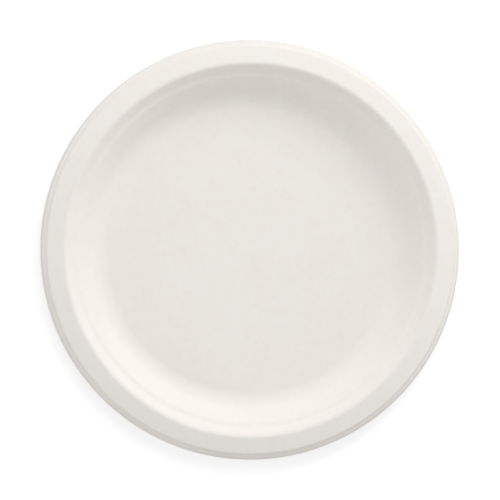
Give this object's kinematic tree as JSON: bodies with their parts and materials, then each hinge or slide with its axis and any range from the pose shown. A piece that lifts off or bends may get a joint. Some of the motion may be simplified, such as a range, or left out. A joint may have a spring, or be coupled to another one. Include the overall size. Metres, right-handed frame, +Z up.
{
  "type": "paper plate",
  "caption": "Round moulded-fibre paper plate: a shallow well with a coved wall and stacking ledge, inside a narrow sloping rim with a turned-down edge, to serve food on.",
  "frame": {"origin": "centre of the foot, on the surface the plate stands on", "axes": "+Z up, out of the well; the plate is round about Z, so X and Y are alike"},
  "size_m": [0.254, 0.254, 0.02],
  "materials": {
    "moulded_fibre": "uncoated pressed plant fibre, warm off-white, matt with a soft sheen on the food side"
  },
  "bodies": {
    "root": {"plate": "moulded_fibre"}
  },
  "joints": []
}
